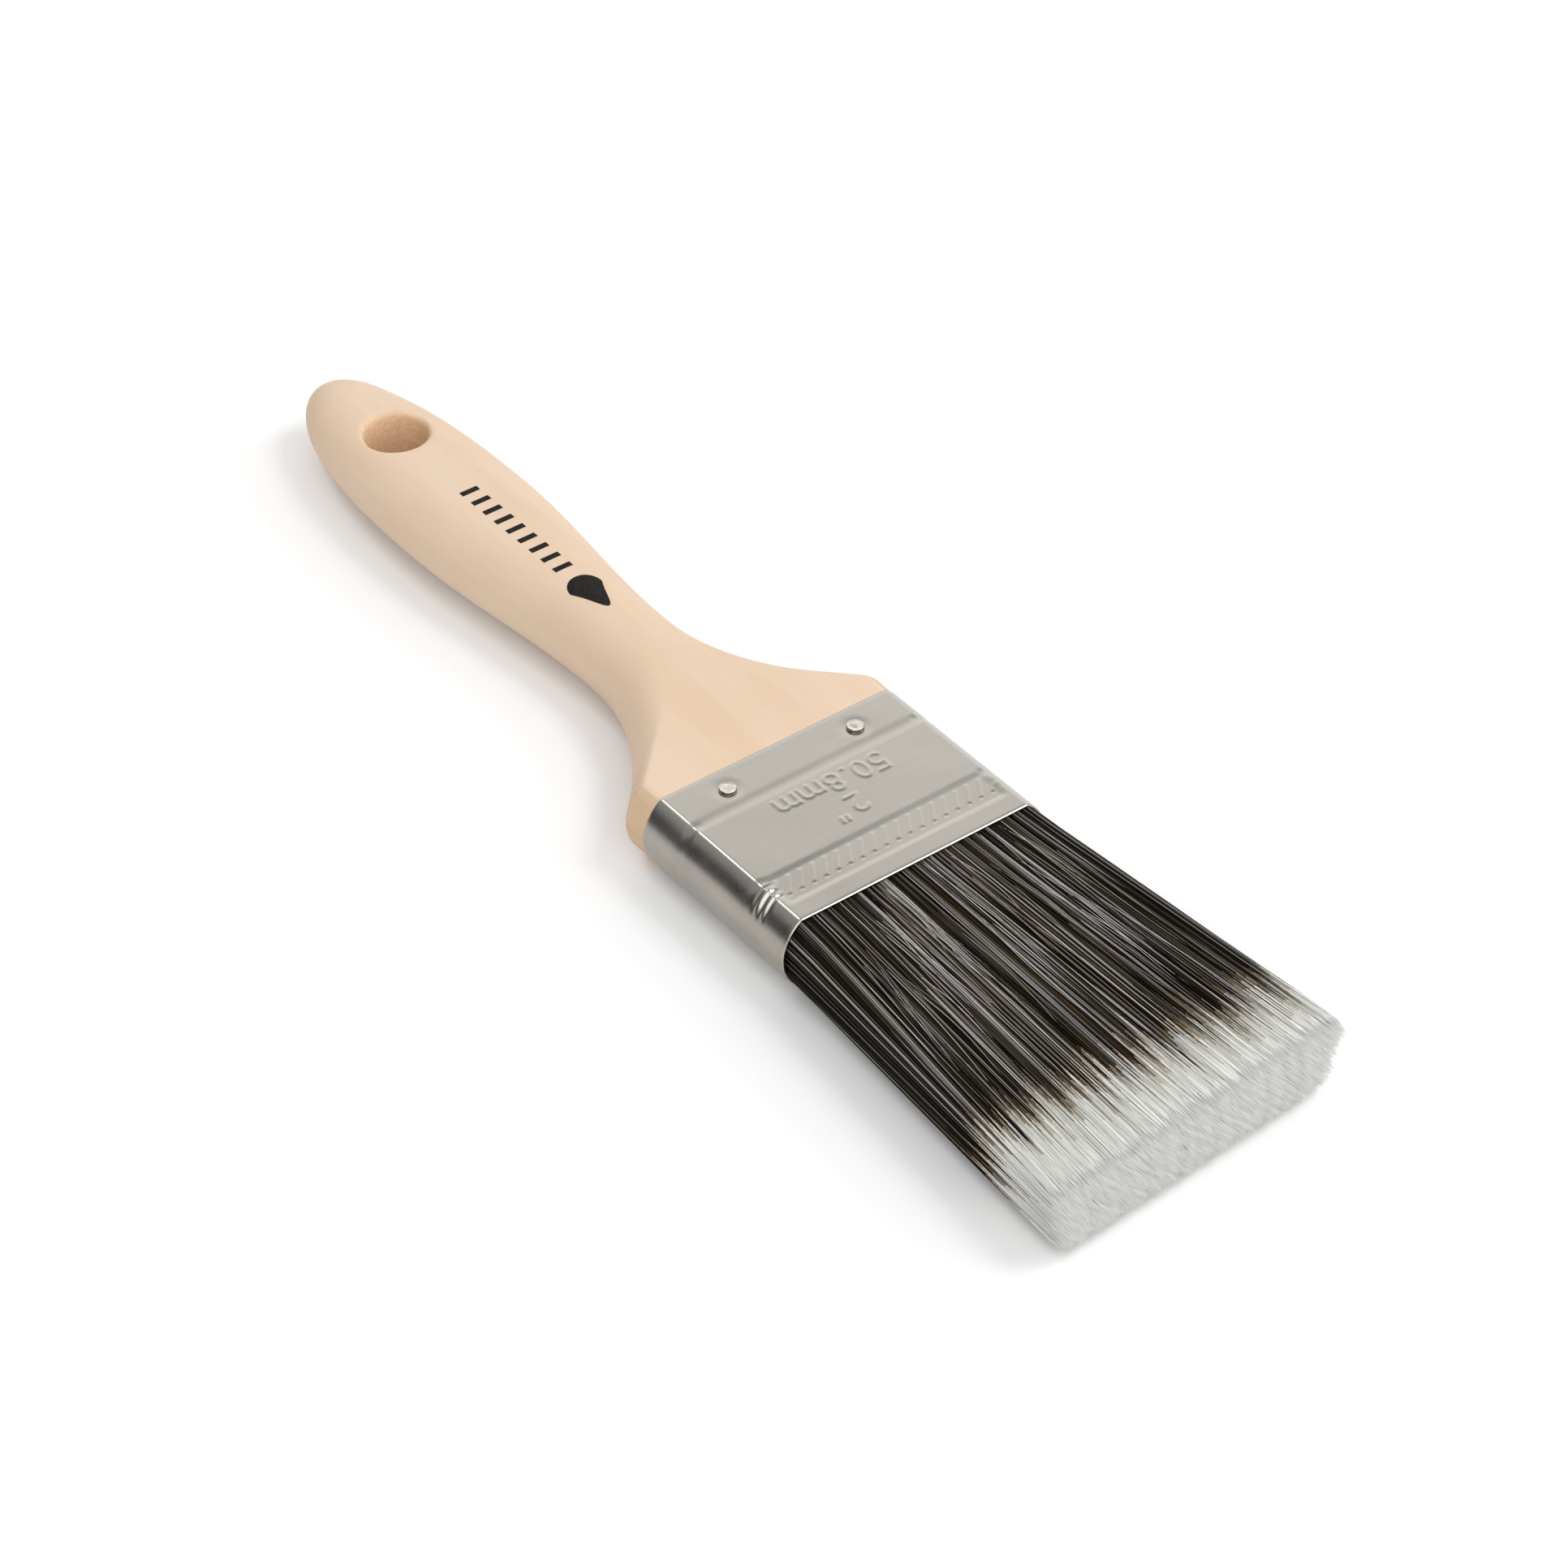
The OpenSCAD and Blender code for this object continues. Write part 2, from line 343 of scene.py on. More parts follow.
def ink_material():
    """Flat black print, a little worn."""
    s = Shader("print_ink", (0.006, 0.0055, 0.005), 0.6, Specular_IOR_Level=0.12)
    worn = s.noise((900, 2200, 2200), detail=3)
    tones = [(0.35, (0.005, 0.0046, 0.0042)), (0.75, (0.016, 0.014, 0.012))]
    s.feed("Base Color", s.ramp(worn, tones))
    return s.material


def plain_material(name, dark, light, roughness, scale):
    """A plain material for inner pieces and the stage: two tones mixed by noise."""
    s = Shader(name, dark, roughness)
    grain = s.noise(scale, detail=3)
    s.feed("Base Color", s.ramp(grain, [(0.3, dark), (0.7, light)]))
    s.feed("Normal", s.bumps(grain, 0.05 * MM, 0.4))
    return s.material


# ---- handle ----

# The handle's outline: distances from the shoulder with half widths, and its tail and nose
SHOULDER_L = 4.7 * MM
NECK_S, NECK_R = 38 * MM, 8.7 * MM
BELLY_S, BELLY_R = 86 * MM, 12.5 * MM
TAIL_R = 6.0 * MM
NOSE_POWER, NOSE_ROUND = 2.5, 10 * MM
# The ferrule's narrow side is an arc, which turns into the handle's rounder side
SIDE_BULGE = 3.6 * MM
SIDE_R = (HALF_T**2 + SIDE_BULGE**2) / (2 * SIDE_BULGE)
SIDE_Y = HALF_W - SIDE_R
EDGE_ANGLE = math.asin(HALF_T / SIDE_R)
ROUND_SIDE_S, SIDE_STRETCH = 24 * MM, 1.5
# The steel sheet, and how far the wood stays below it
SHEET = 0.4 * MM
STEP_IN, STEP_FADE = 0.12 * MM, 6 * MM
TENON_PLAY = 0.05 * MM
WOOD_MESH = 0.42 * MM


def handle_half_width(s):
    """Half width at a distance s from the shoulder."""
    flare = NECK_R + (HALF_W - NECK_R) * ((NECK_S - s) / (NECK_S - SHOULDER_L)) ** 2
    swell = NECK_R + (BELLY_R - NECK_R) * ease(s, NECK_S, BELLY_S)
    past = np.clip((s - BELLY_S) / (HANDLE_L - BELLY_S), 0, 1)
    nose = BELLY_R * np.sqrt(1 - past**NOSE_POWER)
    return np.select([s <= SHOULDER_L, s <= NECK_S, s <= BELLY_S], [HALF_W, flare, swell], nose)


def handle_half_thickness(s):
    """Half thickness at a distance s from the shoulder."""
    hole_s = X_SHOULDER - HOLE_X
    past = np.clip((s - HANDLE_L + NOSE_ROUND) / NOSE_ROUND, 0, 1)
    return (HALF_T + (TAIL_R - HALF_T) * ease(s, NECK_S, hole_s)) * np.sqrt(1 - past**2)


def handle_section(s):
    """Half width, half thickness, side angle and side depth of the section at s."""
    angle = EDGE_ANGLE + (math.pi / 2 - EDGE_ANGLE) * ease(s, SHOULDER_L, ROUND_SIDE_S)
    width, thick = handle_half_width(s), handle_half_thickness(s)
    stretch = 1 + (SIDE_STRETCH - 1) * ease(s, 0, BELLY_S)
    depth = np.minimum(thick / np.sin(angle) * stretch, 0.98 * width)
    return width, thick, angle, depth


def handle_top(x, y):
    """Height of the handle's front face above the middle plane."""
    width, thick, angle, depth = handle_section(X_SHOULDER - np.asarray(x, float))
    flat = width - depth * (1 - np.cos(angle))
    curved = np.clip(np.abs(y) - (width - depth), 0, None)
    sine = np.sqrt(np.clip(1 - (curved / depth) ** 2, 0, 1))
    return np.where(np.abs(y) > flat, thick * sine / np.sin(angle), thick)


def handle_ring(s, side_steps=26, flat_steps=10):
    """Points once round the handle at a distance s from the shoulder."""
    width, thick, angle, depth = (float(v) for v in handle_section(np.array(s)))
    step = STEP_IN * (1 - float(ease(s, 0.5 * MM, STEP_FADE)))
    width, thick = width - step, thick - step
    turn = np.linspace(-angle, angle, side_steps)
    side_y = width - depth * (1 - np.cos(turn))
    side_z = thick * np.sin(turn) / math.sin(angle)
    across = np.linspace(side_y[-1], -side_y[-1], flat_steps + 2)[1:-1]
    top = np.full(flat_steps, thick)
    y = np.concatenate([side_y, across, -side_y[::-1], -across])
    z = np.concatenate([side_z, top, side_z[::-1], -top])
    return np.stack([np.full(len(y), X_SHOULDER - s), y, Z_MID + z], -1)


def hole_cutter():
    """A cylinder whose ends flare out along rounded rims that follow the handle's faces."""
    rim = TAIL_R - HOLE_WALL / 2
    turns = np.radians(np.linspace(0, 82, 10))
    radius = np.concatenate([HOLE_R + rim * (1 - np.cos(turns)), [HOLE_R + rim]])
    height = np.concatenate([HOLE_WALL / 2 + rim * np.sin(turns), [TAIL_R + 3 * MM]])
    profile_r = np.concatenate([radius[::-1], radius])
    profile_z = np.concatenate([-height[::-1], height])
    angle = np.linspace(0, 2 * math.pi, 96, endpoint=False)
    x = HOLE_X + profile_r[:, None] * np.cos(angle)
    y = profile_r[:, None] * np.sin(angle)
    share = np.clip((np.abs(profile_z) - HOLE_WALL / 2) / rim, 0, 1)[:, None]
    drop = (handle_top(x, y) - TAIL_R) * share
    z = Z_MID + profile_z[:, None] + np.sign(profile_z)[:, None] * drop
    ends = [[HOLE_X, 0, z[0].mean()], [HOLE_X, 0, z[-1].mean()]]
    return closed_tube("hole_cutter", np.stack([x, y, z], -1), ends)


def make_handle(material):
    """Lofts the handle with its tenon, cuts the hang hole with eased rims and evens out the mesh."""
    places = [
        [0, 0.4 * MM],
        np.linspace(SHOULDER_L - 0.4 * MM, SHOULDER_L + 0.4 * MM, 3),
        np.linspace(SHOULDER_L + 1 * MM, HANDLE_L - NOSE_ROUND, 150),
        HANDLE_L - NOSE_ROUND * (1 - np.linspace(0, 1, 26)[1:-1]) ** 2,
    ]
    rings = [handle_ring(s) for s in np.concatenate(places)]

    # The tenon is the shoulder's section, a sheet's thickness smaller
    middle = np.array([0, 0, Z_MID])
    inset = SHEET + TENON_PLAY
    shrink_y, shrink_z = ((half - inset) / (half - STEP_IN) for half in (HALF_W, HALF_T))
    tenon = (rings[0] - middle) * [1, shrink_y, shrink_z] + middle
    tenon_end = tenon + [X_TENON_END - X_SHOULDER, 0, 0]
    ends = [[X_TENON_END, 0, Z_MID], [X_END + 0.05 * MM, 0, Z_MID]]
    handle = closed_tube("handle_wood", [tenon_end, tenon, *rings], ends, flip=True)

    cutter = hole_cutter()
    cut = handle.modifiers.new("hang_hole", "BOOLEAN")
    cut.operation, cut.object, cut.solver = "DIFFERENCE", cutter, "EXACT"
    apply_modifiers(handle)
    bpy.data.objects.remove(cutter)

    even = handle.modifiers.new("even", "REMESH")
    even.mode, even.voxel_size = "VOXEL", WOOD_MESH
    apply_modifiers(handle)
    soften = handle.modifiers.new("soften", "SMOOTH")
    soften.factor, soften.iterations = 0.5, 3
    apply_modifiers(handle)
    handle.data.polygons.foreach_set("use_smooth", np.full(len(handle.data.polygons), True))
    handle.data.materials.clear()
    handle.data.materials.append(material)
    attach(handle, BRUSH)
    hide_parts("handle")


# ---- printed mark: a plain drop and a row of ruler ticks ----

PRINT_X = X_MOUTH - 86 * MM
PRINT_LIFT = 0.05 * MM
PRINT_SINK = 0.15 * MM
DROP_R, DROP_POINT, DROP_SLIM = 3.1 * MM, 3.4 * MM, 0.35
BAR_COUNT, BAR_PITCH, FIRST_BAR = 9, 3.35 * MM, 7.2 * MM
BAR_W, BAR_HALF = 1.15 * MM, 1.7 * MM


def printed_patch(name, outline, material):
    """A thin closed patch of ink over a plan outline, laid on the handle's front face."""
    outline = np.asarray(outline, float)
    centre = outline.mean(0)
    shares = np.linspace(0, 1, 5)[1:]
    plan = np.concatenate([[centre], *(centre + (outline - centre) * share for share in shares)])
    top = Z_MID + handle_top(plan[:, 0], plan[:, 1])
    points = [np.column_stack([plan, top + lift]) for lift in (PRINT_LIFT, -PRINT_SINK)]
    count, size = len(outline), len(plan)
    i = np.arange(count)
    j = (i + 1) % count
    triangles = [np.stack([np.zeros(count, int), 1 + i, 1 + j], -1)]
    quads = []
    for ring in range(len(shares) - 1):
        inner, outer = 1 + ring * count, 1 + (ring + 1) * count
        quads.append(np.stack([inner + i, outer + i, outer + j, inner + j], -1))
    triangles.append(triangles[0][:, ::-1] + size)
    quads += [q[:, ::-1] + size for q in quads]
    rim = 1 + (len(shares) - 1) * count
    quads.append(np.stack([rim + i, rim + size + i, rim + size + j, rim + j], -1))
    quads, triangles = np.concatenate(quads), np.concatenate(triangles)
    patch = new_mesh(name, np.concatenate(points), quads, triangles, smooth=False)
    patch.data.materials.append(material)
    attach(patch, BRUSH)


def make_print(material):
    """A drop that points to the tips, with a row of ruler ticks behind it."""
    angle = np.linspace(0, 2 * math.pi, 48, endpoint=False)
    ahead = np.clip(np.cos(angle), 0, 1)
    drop_x = PRINT_X + np.cos(angle) * DROP_R + ahead**3 * DROP_POINT
    drop_y = np.sin(angle) * DROP_R * (1 - DROP_SLIM * ahead)
    printed_patch("print_drop", np.column_stack([drop_x, drop_y]), material)
    for index in range(BAR_COUNT):
        x = PRINT_X - FIRST_BAR - index * BAR_PITCH
        corners = [(x, -BAR_HALF), (x + BAR_W, -BAR_HALF), (x + BAR_W, BAR_HALF), (x, BAR_HALF)]
        printed_patch(f"print_bar_{index + 1}", corners, material)


# ---- ferrule ----

# Places of the stamping, back from the mouth
GROOVE_BACK = 26.8 * MM
BAND_START, BAND_END = 4.2 * MM, 10.4 * MM
CRIMP_START, CRIMP_END = 9.4 * MM, 6.0 * MM
# Depths below the sheet's plain face and heights above it
GROOVE_DEPTH, BAND_DEPTH, DIMPLE_DEPTH, NAIL_DEPTH = 0.07 * MM, 0.11 * MM, 0.17 * MM, 0.13 * MM
CRIMP_HEIGHT, FIGURE_HEIGHT = 0.055 * MM, 0.085 * MM
CRIMP_COUNT, CRIMP_PITCH, CRIMP_LEAN = 19, 2.3 * MM, 2.2 * MM
FIGURE_TALL, FIGURE_STROKE = 4.0 * MM, 0.52 * MM
SIZE_MARK = (X_MOUTH - 24.3 * MM, 11.3 * MM)
INCH_MARK = (X_MOUTH - 18.4 * MM, 2.9 * MM)
# Creases where the crimping tool pinched the narrow side: place back from the mouth and height in mm
PINCHES = ((9.1, -0.16), (8.3, 0.16), (7.5, -0.24), (6.8, 0.15), (6.1, -0.16))
PINCH_LEFT, PINCH_RIGHT = 1.0, 0.06
LIP = 0.34 * MM
LIP_DEPTH, LIP_INSIDE, LIP_POWER = 0.20 * MM, 0.10 * MM, 1.2
CORNER_R = 1.0 * MM


def arc(centre, radii, start, end, steps=9):
    """Points along an arc, angles in degrees."""
    turn = np.radians(np.linspace(start, end, steps))
    return [(centre[0] + radii[0] * math.cos(t), centre[1] + radii[1] * math.sin(t)) for t in turn]


# Strokes of the size figures in a cell 1 high, baseline at 0, read left to right
GLYPHS = {
    "5": [[(0.55, 1.0), (0.12, 1.0), (0.08, 0.58)] + arc((0.28, 0.33), (0.30, 0.31), 125, -140)],
    "0": [arc((0.33, 0.5), (0.27, 0.48), 0, 360, 17)],
    "8": [arc((0.33, 0.75), (0.22, 0.23), 0, 360, 13), arc((0.33, 0.27), (0.28, 0.27), 0, 360, 13)],
    "2": [arc((0.32, 0.72), (0.26, 0.26), 160, -35) + [(0.06, 0.02), (0.62, 0.02)]],
    ".": [[(0.1, 0.03), (0.14, 0.03)]],
    "m": [
        [(0.06, 0.0), (0.06, 0.66)],
        arc((0.28, 0.44), (0.22, 0.22), 180, 0, 7) + [(0.50, 0.0)],
        arc((0.72, 0.44), (0.22, 0.22), 180, 0, 7) + [(0.94, 0.0)],
    ],
    "'": [[(0.12, 1.12), (0.08, 0.86)]],
}
ADVANCE = {"5": 0.80, "0": 0.82, "8": 0.84, "2": 1.08, ".": 0.48, "m": 1.17, "'": 0.26}


def stroke_distance(px, py, words, origin, height):
    """Distance from points to the strokes of a line of figures, read with the tips pointing up."""
    found = np.full(px.shape, 1.0)
    pen = 0.0
    for letter in words:
        for stroke in GLYPHS[letter]:
            line = np.array(stroke)
            # Figures run towards -Y and stand towards +X
            y = origin[1] - (pen + line[:, 0]) * height
            x = origin[0] + line[:, 1] * height
            for k in range(len(line) - 1):
                ax, ay, bx, by = x[k], y[k], x[k + 1], y[k + 1]
                dx, dy = bx - ax, by - ay
                t = np.clip(((px - ax) * dx + (py - ay) * dy) / (dx * dx + dy * dy + 1e-15), 0, 1)
                found = np.minimum(found, np.hypot(px - ax - t * dx, py - ay - t * dy))
        pen += ADVANCE[letter]
    return found


def face_relief(x, y, front, nails):
    """Height of the stamped sheet above the ferrule's plain face, on its front or back."""
    back = X_MOUTH - x
    relief = -GROOVE_DEPTH * bump(back - GROOVE_BACK, 1.6 * MM)
    # A band is pressed in, its two edges eased
    band = ease(back, BAND_START - 0.7 * MM, BAND_START + 0.5 * MM)
    band *= 1 - ease(back, BAND_END - 0.6 * MM, BAND_END + 1.0 * MM)
    relief -= BAND_DEPTH * band
    # Slanted crimps, each with a small dimple at its mouth end
    along = np.clip((CRIMP_START - back) / (CRIMP_START - CRIMP_END), 0, 1)
    off_end = np.clip(np.maximum(back - CRIMP_START, CRIMP_END - back), 0, None)
    for k in range(CRIMP_COUNT):
        place = (k - (CRIMP_COUNT - 1) / 2) * CRIMP_PITCH
        beside = y - (place + CRIMP_LEAN * (0.5 - along))
        relief += CRIMP_HEIGHT * bump(np.hypot(beside * 0.82, off_end), 0.48 * MM)
        foot = np.hypot(y - (place - CRIMP_LEAN / 2), back - CRIMP_END + 0.2 * MM)
        relief -= DIMPLE_DEPTH * bump(foot, 0.36 * MM)
    for nail_x, nail_y in nails:
        relief -= NAIL_DEPTH * bump(np.hypot(x - nail_x, y - nail_y), 3.2 * MM)
    if front:
        size = stroke_distance(x, y, "50.8mm", SIZE_MARK, FIGURE_TALL)
        inch = stroke_distance(x, y, "2''", INCH_MARK, FIGURE_TALL)
        relief += FIGURE_HEIGHT * bump(np.minimum(size, inch), FIGURE_STROKE)
    return relief


def edge_relief(back, share, pinched):
    """Dents of the narrow sides: share runs from -1 at the back face to 1 at the front face."""
    near_edge = np.abs(share) ** 3
    relief = -0.15 * MM * bump(back - GROOVE_BACK, 1.4 * MM) * (0.35 + 0.65 * near_edge)
    relief -= 0.10 * MM * bump(back - BAND_END, 1.3 * MM) * (0.2 + 0.8 * near_edge)
    # The pinched creases run at a slant, near the front face
    slant = back - 0.9 * MM * (share - 0.8)
    for place, height in PINCHES:
        crease = height * MM * bump(slant - place * MM, 0.5 * MM)
        relief += crease * ease(share, 0.45, 0.8) * pinched
    # A long shallow hollow and a soft swell
    relief -= 0.05 * MM * bump(back - 19 * MM, 7 * MM) * (1 - near_edge)
    relief += 0.04 * MM * bump(back - 29.5 * MM, 4 * MM) * (1 - near_edge)
    return relief


def ferrule_section(side_steps, corner_steps, face_steps):
    """Points and outward normals once round the ferrule, as y and height above the middle plane."""
    centre_z = HALF_T - CORNER_R
    centre_y = SIDE_Y + math.sqrt((SIDE_R - CORNER_R) ** 2 - centre_z**2)
    side_turn = math.atan2(centre_z, centre_y - SIDE_Y)
    turn = np.linspace(-side_turn, side_turn, side_steps)
    bend = np.linspace(side_turn, math.pi / 2, corner_steps + 1)[1:]
    y = np.concatenate([SIDE_Y + SIDE_R * np.cos(turn), centre_y + CORNER_R * np.cos(bend)])
    z = np.concatenate([SIDE_R * np.sin(turn), centre_z + CORNER_R * np.sin(bend)])
    angle = np.concatenate([turn, bend])
    across = np.linspace(y[-1], -y[-1], face_steps + 2)[1:-1]
    upper = side_steps + corner_steps
    low_y, low_z, low_angle = y[side_steps:upper], z[side_steps:upper], angle[side_steps:upper]
    half_y = np.concatenate([low_y[::-1], y, across])
    half_z = np.concatenate([-low_z[::-1], z, np.full(face_steps, HALF_T)])
    half_angle = np.concatenate([-low_angle[::-1], angle, np.full(face_steps, math.pi / 2)])
    y = np.concatenate([half_y, -half_y])
    z = np.concatenate([half_z, -half_z])
    normal_y = np.concatenate([np.cos(half_angle), -np.cos(half_angle)])
    normal_z = np.concatenate([np.sin(half_angle), -np.sin(half_angle)])
    return y, z, normal_y, normal_z


def ferrule_rows():
    """Places along the ferrule, close together where the sheet is stamped."""
    length = X_MOUTH - X_SHOULDER
    plain = [b for b in np.arange(0, length, 0.42 * MM) if not 3.0 * MM < b < 26.7 * MM]
    stamped = np.arange(11.6 * MM, 26.5 * MM, 0.19 * MM)
    crimped = np.arange(3.2 * MM, 11.4 * MM, 0.17 * MM)
    lip = LIP * np.array([0.15, 0.35, 0.6, 0.8])
    back = np.unique(np.concatenate([plain, stamped, crimped, lip, [0.0, length]]))
    back = back[np.concatenate([[True], np.diff(back) > 0.04 * MM])]
    return X_MOUTH - back[::-1]


def ferrule_relief(x, y, z, normal_z, nails):
    """Height of the whole sheet above its plain shape, on a grid of rows x and places once round."""
    faces = ((normal_z > 0.9999, True), (normal_z < -0.9999, False))
    x_grid, y_grid = np.meshgrid(x, y, indexing="ij")
    pinched = np.where(y < 0, PINCH_LEFT, PINCH_RIGHT)[None, :]
    relief = edge_relief(X_MOUTH - x_grid, np.clip(z / HALF_T, -1, 1)[None, :], pinched)
    # The stamping fades out towards the edges, where the dents of the narrow sides take over
    flat_y = np.abs(y[faces[0][0]]).max()
    share = ease(flat_y - np.abs(y), 0, 1.5 * MM)[None, :]
    for columns, front in faces:
        stamped = face_relief(x_grid[:, columns], y_grid[:, columns], front, nails)
        kept = relief[:, columns] * (1 - share[:, columns])
        relief[:, columns] = stamped * share[:, columns] + kept
    # Gentle unevenness of thin sheet, a lip that turns in at the mouth and an eased handle rim
    relief += 0.018 * MM * np.sin(x_grid * 310 + 1.3 * np.sin(y_grid * 170)) * np.cos(y_grid * 205)
    relief -= LIP_DEPTH * lip_share(x_grid)
    relief -= 0.05 * MM * ease(-x_grid, -X_SHOULDER - 0.3 * MM, -X_SHOULDER)
    return np.minimum(relief, 0.22 * MM)


def lip_share(x):
    """How far the lip has turned in at x, from 0 to 1 at the mouth."""
    return np.clip((x - X_MOUTH + LIP) / LIP, 0, 1) ** LIP_POWER


def ferrule_skin(x, y, z, normal_y, normal_z, lift):
    """Rings of points at the places x, lifted along the section's normals."""
    x = np.repeat(x[:, None], len(y), 1)
    return np.stack([x, y + lift * normal_y, Z_MID + z + lift * normal_z], -1)


def make_ferrule(material, nails):
    """The steel band: a dense outer skin with all its relief, a plain inner skin and rounded rims."""
    section = ferrule_section(side_steps=34, corner_steps=8, face_steps=188)
    y, z, _, normal_z = section
    outer_x, inner_x = ferrule_rows(), np.linspace(X_SHOULDER, X_MOUTH, 40)
    outer = ferrule_skin(outer_x, *section, ferrule_relief(outer_x, y, z, normal_z, nails))
    inner = ferrule_skin(inner_x, *section, -(SHEET + LIP_INSIDE * lip_share(inner_x))[:, None])
    # Outer skin from handle to mouth, a ring that rounds each rim, and the inner skin back again
    mouth_rim = (outer[-1] + inner[-1]) / 2
    handle_rim = (outer[0] + inner[0]) / 2
    outer[-1, :, 0] -= 0.08 * MM
    inner[-1, :, 0] -= 0.10 * MM
    outer[0, :, 0] += 0.05 * MM
    loop = [*outer, mouth_rim, *inner[::-1], handle_rim]
    quads = tube_quads(len(loop), len(y), close_along=True)
    ferrule = new_mesh("ferrule_band", np.concatenate(loop), quads)
    ferrule.data.materials.append(material)
    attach(ferrule, BRUSH)
    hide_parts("ferrule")


# ---- nails ----

NAIL_SHANK_R, NAIL_SHANK_L = 0.7 * MM, 6 * MM
NAIL_RIM_R = 0.2 * MM
NAIL_DENTS, NAIL_DENT_DEPTH = 5, 0.03 * MM


def nail_profile(head_r, head_h, shank_end):
    """Radius and height of a nail with a flattened dome head, from its point to the head's top."""
    turn = np.radians(np.linspace(0, 90, 9))
    rim = [(head_r - NAIL_RIM_R * (1 - math.cos(t)), head_h * 0.55 + NAIL_RIM_R * math.sin(t)) for t in turn]
    return [
        (0, shank_end),
        (NAIL_SHANK_R * 0.3, shank_end + 0.2 * MM),
        (NAIL_SHANK_R, shank_end + 1.4 * MM),
        (NAIL_SHANK_R, -0.2 * MM),
        (head_r - 0.25 * MM, -0.18 * MM),
        (head_r, 0.0),
        *rim,
        (head_r * 0.75, head_h * 0.88),
        (head_r * 0.50, head_h * 0.96),
        (head_r * 0.25, head_h * 0.99),
        (0, head_h),
    ]


def make_nail(node, material, random):
    """A nail with a rounded rim and a slightly uneven top, driven in from its face."""
    low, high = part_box(node)
    head_r = (high.x - low.x) / 2
    head_room = NAIL_TOP - Z_MID - HALF_T
    head_h = head_room * 0.98
    shank_end = head_h - head_room - NAIL_SHANK_L
    nail = lathe(node + "_head", nail_profile(head_r, head_h, shank_end), 48)
    dents = [(random.uniform(-1, 1), random.uniform(-1, 1)) for _ in range(NAIL_DENTS)]
    for vertex in nail.data.vertices:
        if vertex.co.z > head_h * 0.5:
            for dx, dy in dents:
                apart = math.hypot(vertex.co.x / head_r - dx * 0.7, vertex.co.y / head_r - dy * 0.7)
                vertex.co.z -= NAIL_DENT_DEPTH * float(bump(apart, 0.5))
    on_front = "front" in node
    flip = Matrix.Identity(4) if on_front else Matrix.Rotation(math.pi, 4, "X")
    face_z = Z_MID + HALF_T if on_front else Z_MID - HALF_T
    place = ((low.x + high.x) / 2, (low.y + high.y) / 2, face_z)
    nail.data.transform(Matrix.Translation(place) @ flip)
    nail.data.materials.append(material)
    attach(nail, BRUSH)
    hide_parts(node)


# ---- filaments ----

# The pack's section at the mouth and at the tips: flat half width, bulge of the sides, half thickness
MOUTH_FLAT, MOUTH_BULGE, MOUTH_T = 21.6 * MM, 3.0 * MM, 6.35 * MM
TIP_FLAT, TIP_BULGE, TIP_T = TIP_HALF_W - 1.1 * MM, 0.6 * MM, 5.7 * MM
WIDER_FRONT = 0.45 * MM
START_X = X_MOUTH - 3.5 * MM
FREE_L = X_TIPS - X_MOUTH
FACE_COUNT, EDGE_COUNT, TIP_COUNT = 1900, 700, 18000
STRAY_COUNT, FRONT_STRAYS = 110, 65
# How much shorter the pack ends at its faces than in its middle, and at +Y than at -Y
CHISEL = 1.3 * MM
SKEW = 3.4 * MM
# Where the dark colour gives out, ahead of the mouth, and the steps of its fading
FADE_L = 52.2 * MM
FADE_STEPS = (-1.6 * MM, 0.0, 1.8 * MM, 3.9 * MM)

# Colours along a filament and their gloss: body tones from darkest to lightest, then the faded tip's
BODY_TONES = [
    ("black", (0.0055, 0.004, 0.0025), 0.05),
    ("brown_black", (0.021, 0.012, 0.0042), 0.08),
    ("dark_grey", (0.046, 0.034, 0.020), 0.14),
    ("brown", (0.090, 0.056, 0.022), 0.16),
    ("mid_grey", (0.178, 0.165, 0.143), 0.28),
    ("light_grey", (0.355, 0.355, 0.352), 0.34),
    # Partly painted highlight: silver strands stand in for glints along single filaments, and also serve as
    # pale strays
    ("silver_and_highlight", (0.560, 0.550, 0.530), 0.40),
]
TIP_TONES = [
    ("tan", (0.190, 0.138, 0.080), 0.30),
    ("taupe", (0.350, 0.292, 0.225), 0.35),
    ("warm_grey", (0.580, 0.540, 0.475), 0.40),
    ("pale_grey", (0.785, 0.782, 0.750), 0.36),
    ("white", (0.915, 0.918, 0.890), 0.40),
]
DARK_GREY, BROWN, MID_GREY, LIGHT_GREY, SILVER_AND_HIGHLIGHT = range(2, len(BODY_TONES))
TAN, TAUPE, WARM, PALE, WHITE = range(len(BODY_TONES), len(BODY_TONES) + len(TIP_TONES))
# Upper limits of the body tones, in standard deviations
TONE_LIMITS = [-0.26, 0.12, 0.32, 0.46, 0.78, 1.28]


def filament_material(name, color, gloss):
    """One tone of a smooth tapered plastic filament, its gloss broken along its length."""
    s = Shader("filament_" + name, color, 0.4, Specular_IOR_Level=gloss)
    worn = s.noise((350, 2200, 2200), detail=2)
    s.feed("Roughness", s.between(worn, 0.3, 0.7, 0.30, 0.55))
    s.feed("Normal", s.bumps(s.noise((900, 5000, 5000)), 0.02 * MM, 0.3))
    return s.material


def across_noise(q, cycles, seed, octaves=3):
    """Smooth noise across the pack's width, about -1 to 1, with a number of cycles over that width."""
    waves = np.random.default_rng(seed)
    found = np.zeros_like(q)
    for octave in range(octaves):
        rate = cycles * 1.9**octave
        for _ in range(3):
            pace, phase = rate * waves.uniform(0.7, 1.4), waves.uniform(0, 2 * math.pi)
            found += np.sin(math.pi * pace * q + phase) * 0.62**octave
    return found / 3.2


def free_share(x):
    """How far x is along the free filaments, from 0 at the mouth to 1 at the tips."""
    return np.clip((x - X_MOUTH) / FREE_L, 0, 1)


